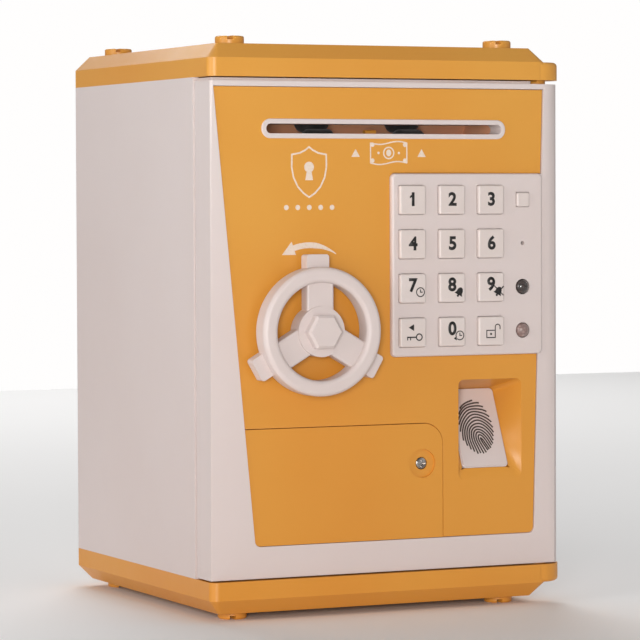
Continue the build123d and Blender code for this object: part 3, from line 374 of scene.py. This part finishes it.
# merged copies of the larger mouldings, with their outer edges rounded
capEdges = {"ring": 0.0011, "ringSteps": 4, "slopeInset": 0.0043, "reach": 0.0009}
panelEdges = {
    "rim": 0.0013, "rimSteps": 5, "outer": 0.00030, "outerSteps": 2,
    "restLeft": 0.004, "restAround": 0.007,
}
padEdges = {"right": 0.0022, "left": 0.0008, "steps": 5}
frameEdges = {"outer": 0.00035, "outerSteps": 2}


def openCopy(node):
    bm = bmesh.new()
    bm.from_mesh(nodes[node].data)
    bmesh.ops.remove_doubles(bm, verts=bm.verts, dist=1e-6)
    bmesh.ops.dissolve_limit(bm, angle_limit=radians(0.4), use_dissolve_boundaries=False,
                             verts=bm.verts, edges=bm.edges)
    return bm


def roundEdges(bm, chosen, width, segments):
    edges = [edge for edge in bm.edges
             if edge.is_manifold and edge.calc_face_angle(0.0) > radians(18) and chosen(edge)]
    bmesh.ops.bevel(bm, geom=edges, offset=width, offset_type="OFFSET", affect="EDGES",
                    segments=segments, profile=0.5, material=-1, clamp_overlap=True, loop_slide=True)


def closeCopy(bm, node, name):
    mesh = bpy.data.meshes.new(name)
    bm.to_mesh(mesh)
    bm.free()
    mesh.materials.append(materials[slotOf[node]])
    for polygon in mesh.polygons:
        polygon.use_smooth = True
    mesh.set_sharp_from_angle(angle=radians(31))
    obj = bpy.data.objects.new(name, mesh)
    bpy.context.scene.collection.objects.link(obj)
    even = obj.modifiers.new("evenNormals", "WEIGHTED_NORMAL")
    even.keep_sharp = True
    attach(obj, bodyOf[node])
    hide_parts(node)
    return obj


def flatAt(edge, z):
    return all(abs(vertex.co.z - z) < 0.1 * mm for vertex in edge.verts)


def atFront(edge, y):
    return all(abs(vertex.co.y - y) < 0.05 * mm for vertex in edge.verts)


def softCap(node, name, look):
    # rounds the rings where the sloping band starts and ends, and the open rim
    low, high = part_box("body_shell")
    lowest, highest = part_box(node)
    isTop = node == "top_cap"
    flatZ = highest.z if isTop else lowest.z
    rimZ = high.z if isTop else low.z
    frontY = lowest.y
    bm = openCopy(node)
    wallZ = [vertex.co.z for vertex in bm.verts if abs(vertex.co.x - low.x) < 0.03 * mm]
    turnZ = max(wallZ) if isTop else min(wallZ)

    def inFrom(edge):
        middle = (edge.verts[0].co + edge.verts[1].co) / 2
        return min(middle.x - low.x, high.x - middle.x, middle.y - frontY, high.y - middle.y)

    def onRing(edge):
        away = inFrom(edge)
        onFlat = flatAt(edge, flatZ) and abs(away - look["slopeInset"]) < look["reach"]
        onTurn = flatAt(edge, turnZ) and abs(away) < look["reach"]
        onRim = flatAt(edge, rimZ) and abs(away) < look["reach"] / 3
        return onFlat or onTurn or onRim

    roundEdges(bm, onRing, look["ring"], look["ringSteps"])
    closeCopy(bm, node, name)


def softPanel(node, name, look):
    # the finger rest has a wide soft rim, the outer edge a small one
    padLow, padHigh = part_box("fingerprint_pad")
    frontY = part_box(node)[0].y
    bm = openCopy(node)

    def nearRest(edge):
        middle = (edge.verts[0].co + edge.verts[1].co) / 2
        around = look["restAround"]
        return (padLow.x - look["restLeft"] < middle.x < padHigh.x + around
                and padLow.z - around < middle.z < padHigh.z + around)

    def onRim(edge):
        return atFront(edge, frontY) and nearRest(edge)

    def onOutline(edge):
        return atFront(edge, frontY) and not nearRest(edge)

    roundEdges(bm, onRim, look["rim"], look["rimSteps"])
    roundEdges(bm, onOutline, look["outer"], look["outerSteps"])
    closeCopy(bm, node, name)


def softPad(node, name, look):
    # the corners of the finger pad, which run along its thickness
    low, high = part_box(node)
    bm = openCopy(node)

    def atCorner(edge):
        along = (edge.verts[1].co - edge.verts[0].co).normalized()
        return abs(along.x) < 0.05 and abs(along.y) > 0.75

    def isRight(edge):
        return edge.verts[0].co.x > (low.x + high.x) / 2

    roundEdges(bm, lambda edge: atCorner(edge) and isRight(edge), look["right"], look["steps"])
    roundEdges(bm, lambda edge: atCorner(edge) and not isRight(edge), look["left"], look["steps"])
    closeCopy(bm, node, name)


def softFrame(node, name, look):
    # a small rim all round the front of the white door moulding
    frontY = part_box(node)[0].y
    bm = openCopy(node)
    roundEdges(bm, lambda edge: atFront(edge, frontY), look["outer"], look["outerSteps"])
    closeCopy(bm, node, name)


softCap("top_cap", "topBand", capEdges)
softCap("bottom_cap", "baseBand", capEdges)
softPanel("front_panel", "orangePanel", panelEdges)
softPad("fingerprint_pad", "fingerPad", padEdges)
softFrame("door_frame", "whiteDoor", frameEdges)
print("soft mouldings done")


# a separate copy of the return spring, with a mesh of its own
def springCopy(node, name):
    obj = closeCopy(openCopy(node), node, name)
    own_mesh(obj)


springCopy("plunger_spring", "returnSpring")
print("return spring done")


# flat printing is drawn in x (right) and y (up), then laid on its face
# each stroke lies a hair above the last, so crossing strokes never share one plane
inkStep = 0.0000015
inkLevels = itertools.cycle([step * inkStep for step in range(12)])


def inkPolygon(bm, points):
    level = next(inkLevels)
    bm.faces.new([bm.verts.new((x, y, level)) for x, y in points])


def inkLine(bm, start, end, width):
    along = Vector((end[0] - start[0], end[1] - start[1]))
    side = Vector((-along.y, along.x)).normalized() * width / 2
    a, b = Vector(start), Vector(end)
    inkPolygon(bm, (a - side, b - side, b + side, a + side))


def inkDisc(bm, x, y, radius, squeeze=1.0):
    matrix = Matrix.Translation((x, y, next(inkLevels))) @ Matrix.Diagonal((1, squeeze, 1, 1))
    bmesh.ops.create_circle(bm, cap_ends=True, segments=40, radius=radius, matrix=matrix)


def inkArc(bm, x, y, radius, width, start=0.0, sweep=360.0):
    level = next(inkLevels)
    towards = Vector((cos(radians(start)), sin(radians(start)), 0))
    middle = Vector((x, y, level))
    inner = bm.verts.new(middle + towards * (radius - width / 2))
    outer = bm.verts.new(middle + towards * (radius + width / 2))
    edge = bm.edges.new((inner, outer))
    steps = max(6, int(abs(sweep) / 7))
    full = abs(sweep) > 359
    bmesh.ops.spin(bm, geom=[inner, outer, edge], cent=middle, axis=(0, 0, 1), angle=radians(sweep),
                   steps=steps, use_merge=full, use_duplicate=False)


def finishPrint(bm, name, place, thickness, ink, body):
    bmesh.ops.remove_doubles(bm, verts=bm.verts, dist=1e-7)
    grown = bmesh.ops.extrude_face_region(bm, geom=list(bm.faces))
    moved = [item for item in grown["geom"] if isinstance(item, bmesh.types.BMVert)]
    bmesh.ops.translate(bm, vec=(0, 0, thickness), verts=moved)
    bmesh.ops.transform(bm, matrix=place, verts=bm.verts)
    bmesh.ops.recalc_face_normals(bm, faces=bm.faces)
    return pieceFrom(bm, name, inks[ink], body)


def pieceFrom(bm, name, material, body):
    mesh = bpy.data.meshes.new(name)
    bm.to_mesh(mesh)
    bm.free()
    mesh.materials.append(material)
    obj = bpy.data.objects.new(name, mesh)
    bpy.context.scene.collection.objects.link(obj)
    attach(obj, body)
    return obj


def onFront(x, y, z, lean=0.0):
    # print x stays right, print y goes up, and the print faces the front
    return Matrix.Translation((x, y, z)) @ Matrix.Rotation(radians(90) - lean, 4, "X")


def addDigit(bm, text, size, x, y, bold):
    curve = bpy.data.curves.new("digit", "FONT")
    curve.body = text
    curve.size = size
    curve.offset = bold
    curve.align_x = "CENTER"
    curve.align_y = "CENTER"
    curve.resolution_u = 6
    holder = bpy.data.objects.new("digit", curve)
    bpy.context.scene.collection.objects.link(holder)
    mesh = bpy.data.meshes.new_from_object(holder.evaluated_get(bpy.context.evaluated_depsgraph_get()))
    mesh.transform(Matrix.Translation((x, y, 0)))
    bm.from_mesh(mesh)
    bpy.data.objects.remove(holder)
    bpy.data.curves.remove(curve)
    bpy.data.meshes.remove(mesh)


# printing on the orange panel
panelPrint = {
    "film": 0.00004, "noteBelow": 0.00785, "noteAside": 0.0013, "noteWide": 0.0133, "noteTall": 0.0066,
    "noteWave": 0.0005, "stroke": 0.00042, "noteDot": 0.00042, "cornerIn": 0.0007, "cornerDot": 0.00072,
    "ringRadius": 0.00185, "ringStroke": 0.00045, "ovalRadius": 0.0009, "ovalTall": 1.25,
    "arrowAside": 0.0121, "arrowWide": 0.0031, "arrowTall": 0.0026,
    "badgeAbove": 0.0517, "badgeWide": 0.0070, "badgeTall": 0.0082, "badgeStroke": 0.00055,
    "badgeSide": ((0, 1.0), (0.20, 0.87), (0.48, 0.76), (0.88, 0.70), (0.89, 0.20), (0.80, -0.20),
                  (0.58, -0.58), (0.30, -0.83), (0, -1.0)),
    "dotsAbove": 0.0402, "dotRadius": 0.00085, "dotPitch": 0.0041,
    "dotCount": 5, "turnAbove": 0.0107, "turnRadius": 0.0172, "turnBand": 0.0019,
    "turnStart": 56.0, "turnEnd": 109.0, "turnTip": 125.0,
}


def drawNote(bm, look):
    half, tall, wave = look["noteWide"] / 2, look["noteTall"] / 2, look["noteWave"]
    steps = 14
    for side in (-1, 1):
        points = []
        for step in range(steps + 1):
            x = -half + 2 * half * step / steps
            points.append((x, side * tall + wave * sin(x / half * pi)))
        for start, end in zip(points, points[1:]):
            inkLine(bm, start, end, look["stroke"])
        inkLine(bm, (side * half, -tall - wave * 0.2), (side * half, tall + wave * 0.2), look["stroke"])
        inkDisc(bm, side * half * 0.56, 0, look["noteDot"])
        for rise in (-1, 1):
            x, y = side * (half - look["cornerIn"]), rise * (tall - look["cornerIn"]) + wave * 0.2
            inkDisc(bm, x, y, look["cornerDot"])
    inkArc(bm, 0, 0, look["ringRadius"], look["ringStroke"])
    inkDisc(bm, 0, 0, look["ovalRadius"], look["ovalTall"])


def drawBadge(bm, look):
    # a plain shield outline round a keyhole
    wide, tall, stroke = look["badgeWide"], look["badgeTall"], look["badgeStroke"]
    left = [(-x * wide, y * tall) for x, y in look["badgeSide"]]
    right = [(-x, y) for x, y in reversed(left[1:-1])]
    outline = left + right
    for start, end in zip(outline, outline[1:] + outline[:1]):
        inkLine(bm, start, end, stroke)
        inkDisc(bm, start[0], start[1], stroke / 2)
    inkDisc(bm, 0, tall * 0.20, wide * 0.25)
    inkPolygon(bm, [(-wide * 0.10, tall * 0.12), (-wide * 0.20, -tall * 0.32),
                    (wide * 0.20, -tall * 0.32), (wide * 0.10, tall * 0.12)])


def drawTurnArrow(bm, look):
    radius, band = look["turnRadius"], look["turnBand"]
    steps = 20
    rims = []
    for step in range(steps + 1):
        share = step / steps
        angle = radians(look["turnStart"] + (look["turnEnd"] - look["turnStart"]) * share)
        half = band / 2 * (0.10 + 0.90 * min(1.0, share * 2.0))
        radii = (radius + half, radius - half)
        rims.append([(reach * cos(angle), reach * sin(angle)) for reach in radii])
    for before, after in zip(rims, rims[1:]):
        inkPolygon(bm, (before[0], after[0], after[1], before[1]))
    root, tip = radians(look["turnEnd"]), radians(look["turnTip"])
    wide = band * 1.2
    inkPolygon(bm, (((radius + wide) * cos(root), (radius + wide) * sin(root)),
                    (radius * cos(tip), radius * sin(tip)),
                    ((radius - wide) * cos(root), (radius - wide) * sin(root))))


def printPanel(look):
    slotLow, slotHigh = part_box("slot_bezel")
    knobLow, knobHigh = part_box("knob_shaft")
    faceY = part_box("front_panel")[0].y
    slotX, slotZ = (slotLow.x + slotHigh.x) / 2, (slotLow.z + slotHigh.z) / 2
    knobX, knobZ = (knobLow.x + knobHigh.x) / 2, (knobLow.z + knobHigh.z) / 2
    sink = faceY + look["film"] / 2
    noteX, noteZ = slotX + look["noteAside"], slotZ - look["noteBelow"]
    bm = bmesh.new()
    drawNote(bm, look)
    finishPrint(bm, "printedNote", onFront(noteX, sink, noteZ), look["film"], "white", "door")
    for side, name in ((-1, "printedArrowLeft"), (1, "printedArrowRight")):
        bm = bmesh.new()
        half, tall = look["arrowWide"] / 2, look["arrowTall"] / 2
        inkPolygon(bm, ((-half, -tall), (half, -tall), (0, tall)))
        place = onFront(noteX + side * look["arrowAside"], sink, noteZ)
        finishPrint(bm, name, place, look["film"], "white", "door")
    bm = bmesh.new()
    drawBadge(bm, look)
    place = onFront(knobX, sink, knobZ + look["badgeAbove"])
    finishPrint(bm, "printedBadge", place, look["film"], "white", "door")
    bm = bmesh.new()
    for count in range(look["dotCount"]):
        inkDisc(bm, (count - (look["dotCount"] - 1) / 2) * look["dotPitch"], 0, look["dotRadius"])
    place = onFront(knobX, sink, knobZ + look["dotsAbove"])
    finishPrint(bm, "printedDots", place, look["film"], "white", "door")
    bm = bmesh.new()
    drawTurnArrow(bm, look)
    place = onFront(knobX, sink, knobZ + look["turnAbove"])
    finishPrint(bm, "printedTurnArrow", place, look["film"], "white", "door")


printPanel(panelPrint)
print("panel printing done")


# digits and small signs on the keys
keyPrint = {
    "film": 0.00004, "size": 0.0060, "bold": 0.00022,
    "liftForSign": 0.0009, "asideForSign": -0.0002, "signX": 0.0026, "signY": -0.00125,
    "clock": 0.00145, "bell": 0.0017, "stroke": 0.00034,
    "flag": ((-0.02, 0.34), (-0.20, 0.20), (-0.20, 0.09), (-0.02, 0.20)),
}


def drawClock(bm, x, y, radius, stroke, gap=0.0):
    inkArc(bm, x, y, radius, stroke, 200 + gap, 360 - gap)
    inkLine(bm, (x, y + radius * 0.62), (x, y - stroke / 2), stroke)
    inkLine(bm, (x, y), (x + radius * 0.55, y), stroke)


def drawBell(bm, x, y, size, crossed):
    turn = Matrix.Rotation(radians(-28), 2)
    profile = ((-0.95, -0.70), (0.95, -0.70), (0.68, -0.30), (0.60, 0.30), (0.36, 0.72),
               (0.0, 0.86), (-0.36, 0.72), (-0.60, 0.30), (-0.68, -0.30))
    points = [turn @ (Vector(point) * size) for point in profile]
    inkPolygon(bm, [(point.x + x, point.y + y) for point in points])
    clapper = turn @ Vector((0.0, -0.90 * size))
    inkDisc(bm, clapper.x + x, clapper.y + y, size * 0.24)
    if crossed:
        inkLine(bm, (x - size, y + size * 1.05), (x + size * 1.1, y - size * 0.9), size * 0.2)
        inkLine(bm, (x + size * 1.1, y + size * 0.9), (x + size * 0.4, y + size * 0.2), size * 0.25)


def drawBackKey(bm, stroke):
    inkPolygon(bm, ((-0.0018, 0.0017), (0.0002, 0.0006), (0.0002, 0.0028)))
    inkArc(bm, 0.0021, -0.0015, 0.00105, stroke * 1.2)
    inkLine(bm, (0.0011, -0.0015), (-0.0024, -0.0015), stroke * 1.3)
    for x in (-0.0022, -0.0011):
        inkLine(bm, (x, -0.0013), (x, -0.0025), stroke)


def drawPadlock(bm, stroke):
    inkLine(bm, (-0.0019, -0.0022), (0.0013, -0.0022), stroke)
    inkLine(bm, (-0.0019, 0.0002), (0.0013, 0.0002), stroke)
    for x in (-0.0019, 0.0013):
        inkLine(bm, (x, -0.0022 - stroke / 2), (x, 0.0002 + stroke / 2), stroke)
    inkArc(bm, 0.0022, 0.0013, 0.0009, stroke, 0, 180)
    inkLine(bm, (0.0013, 0.0013), (0.0013, 0.0002), stroke)
    inkLine(bm, (0.0031, 0.0013), (0.0031, 0.0005), stroke)
    inkDisc(bm, -0.0003, -0.0010, 0.00038)


def printKeys(look):
    sunk = look["film"] / 2
    stroke = look["stroke"]
    for name in ("1", "2", "3", "4", "5", "6", "7", "8", "9", "0", "back", "unlock"):
        low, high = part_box("key_" + name)
        x, z = (low.x + high.x) / 2, (low.z + high.z) / 2
        bm = bmesh.new()
        if name == "back":
            drawBackKey(bm, stroke)
        elif name == "unlock":
            drawPadlock(bm, stroke)
        else:
            signed = name in "7890"
            lift = look["liftForSign"] if signed else 0.0
            aside = look["asideForSign"] if signed else 0.0
            addDigit(bm, name, look["size"], aside, lift, look["bold"])
        if name == "1":
            inkPolygon(bm, [(x * look["size"], y * look["size"]) for x, y in look["flag"]])
        if name == "7":
            drawClock(bm, look["signX"], look["signY"], look["clock"], stroke)
        if name in "89":
            drawBell(bm, look["signX"], look["signY"], look["bell"], name == "9")
        if name == "0":
            drawClock(bm, look["signX"], look["signY"], look["clock"], stroke, 25.0)
            inkPolygon(bm, ((0.0003, -0.0022), (0.0014, -0.0015), (0.0014, -0.0029)))
        place = onFront(x, low.y + sunk, z)
        finishPrint(bm, "keyPrint_" + name, place, look["film"], "black", bodyOf["key_" + name])


printKeys(keyPrint)
print("key printing done")


# fingerprint on the sloping pad: nested arches round a low core, kept inside an oval
fingerPrint = {
    "film": 0.00005, "halfWide": 0.0065, "halfTall": 0.0098, "aside": -0.0006, "along": 0.0002,
    "padLean": 24.3, "coreX": 0.0016, "coreY": -0.0054, "pitch": 0.00104, "line": 0.00056,
    "ridges": 16, "firstRidge": 0.40, "coreTall": 0.0012, "narrow": 0.82, "crown": 0.0072,
    "lean": 26.0, "uprightRidge": 13, "archSteps": 34, "legSteps": 26, "legStep": 0.00045,
    "legSpread": 18.0, "waver": 0.00012, "waverRate": 900.0,
}


def ridgePath(look, number):
    # a leg up, over the arch and a leg down, then turned to the ridge's own lean
    reach = look["pitch"] * (number + look["firstRidge"])
    height = reach + look["coreTall"]
    width = min(reach * look["narrow"], (look["crown"] * height) ** 0.5)
    lean = radians(look["lean"] * max(0.0, 1.0 - number / look["uprightRidge"]))
    arch = look["archSteps"]
    points = []
    for step in range(-look["legSteps"], arch + look["legSteps"] + 1):
        angle = pi * min(max(step, 0), arch) / arch
        drop = max(-step, step - arch, 0) * look["legStep"]
        x = width * cos(angle) * (1.0 + drop * look["legSpread"])
        y = height * sin(angle) - drop
        y += look["waver"] * sin(look["waverRate"] * x + number)
        points.append((look["coreX"] + x * cos(lean) - y * sin(lean),
                       look["coreY"] + x * sin(lean) + y * cos(lean)))
    return points


def inOval(look, point):
    return (point[0] / look["halfWide"]) ** 2 + (point[1] / look["halfTall"]) ** 2 < 1


def printFinger(look):
    pad = nodes["fingerprint_pad"]
    low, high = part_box("fingerprint_pad")
    lean = radians(look["padLean"])
    normal = Vector((0, -cos(lean), sin(lean)))
    level = max(vertex.co.dot(normal) for vertex in pad.data.vertices)
    middle = (low + high) / 2
    middle += normal * (level - middle.dot(normal) - look["film"] / 2)
    bm = bmesh.new()
    for number in range(look["ridges"]):
        path = ridgePath(look, number)
        for start, end in zip(path, path[1:]):
            if inOval(look, start) and inOval(look, end):
                inkLine(bm, start, end, look["line"])
    place = Matrix.Translation(middle) @ Matrix.Rotation(radians(90) - lean, 4, "X")
    place = place @ Matrix.Translation((look["aside"], look["along"], 0))
    finishPrint(bm, "fingerprintRidges", place, look["film"], "brown", "door")


printFinger(fingerPrint)
print("fingerprint done")


# camera, softboxes, floor
view = {
    "place": (-0.47577, -1.02141, 0.13713), "yaw": 24.95, "pitch": -1.88, "roll": -0.23,
    "lens": 183.7, "sensor": 36.0, "shiftY": -0.022,
}
softboxes = {
    "key": {"place": (-0.53, -1.00, 0.168), "size": 0.26, "power": 6.5, "tint": (1.0, 0.985, 0.965)},
    "side": {"place": (-1.30, -0.35, 0.35), "size": 0.8, "power": 5.0, "tint": (1.0, 0.99, 0.985)},
    "fill": {"place": (1.4, -0.8, 0.9), "size": 1.2, "power": 2.0, "tint": (1.0, 0.99, 0.98)},
    "back": {"place": (0.3, 1.3, 1.2), "size": 1.2, "power": 15.0, "tint": (1.0, 1.0, 1.0)},
}
aim = (0, 0, 0.09)
room = {
    "air": (1.0, 0.99, 0.985), "strength": 0.27, "shown": 1.0,
    "floorSize": 2.4, "floorColour": (0.93, 0.925, 0.92),
}


def placeCamera(settings):
    data = bpy.data.cameras.new("viewCamera")
    data.lens = settings["lens"]
    data.sensor_width = settings["sensor"]
    data.shift_y = settings["shiftY"]
    camera = bpy.data.objects.new("viewCamera", data)
    bpy.context.scene.collection.objects.link(camera)
    turn = Matrix.Rotation(-radians(settings["yaw"]), 4, "Z")
    tip = Matrix.Rotation(radians(90 + settings["pitch"]), 4, "X")
    roll = Matrix.Rotation(radians(settings["roll"]), 4, "Z")
    camera.matrix_world = Matrix.Translation(settings["place"]) @ turn @ tip @ roll
    bpy.context.scene.camera = camera


def placeSoftbox(name, settings):
    data = bpy.data.lights.new(name, "AREA")
    data.shape = "DISK"
    data.size = settings["size"]
    data.energy = settings["power"]
    data.color = settings["tint"]
    lamp = bpy.data.objects.new(name, data)
    bpy.context.scene.collection.objects.link(lamp)
    lamp.location = settings["place"]
    lamp.rotation_euler = (Vector(aim) - lamp.location).to_track_quat("-Z", "Y").to_euler()


def buildRoom(settings):
    # the air looks white, and lights the object more softly than it looks
    world = bpy.data.worlds.new("studioAir")
    world.use_nodes = True
    tree = world.node_tree
    background = tree.nodes["Background"]
    background.inputs["Color"].default_value = (*settings["air"], 1.0)
    rays = tree.nodes.new("ShaderNodeLightPath")
    glow = rangeOf(tree, rays.outputs["Is Camera Ray"], 0.0, 1.0, settings["strength"], settings["shown"])
    tree.links.new(glow, background.inputs["Strength"])
    bpy.context.scene.world = world
    bm = bmesh.new()
    bmesh.ops.create_grid(bm, x_segments=1, y_segments=1, size=settings["floorSize"] / 2)
    mesh = bpy.data.meshes.new("studioFloor")
    bm.to_mesh(mesh)
    bm.free()
    material, tree, shader = newMaterial("paperFloor")
    cloud = noiseOf(tree, objectCoords(tree), 3.0)
    pale = settings["floorColour"]
    tree.links.new(rampOf(tree, cloud, ((0.3, shade(pale, 0.99)), (0.7, pale))), shader.inputs["Base Color"])
    shader.inputs["Roughness"].default_value = 0.9
    mesh.materials.append(material)
    floor = bpy.data.objects.new("studioFloor", mesh)
    bpy.context.scene.collection.objects.link(floor)


placeCamera(view)
for name, settings in softboxes.items():
    placeSoftbox(name + "Softbox", settings)
buildRoom(room)
bpy.context.scene.view_settings.view_transform = "Standard"
print("camera, lights and floor placed")
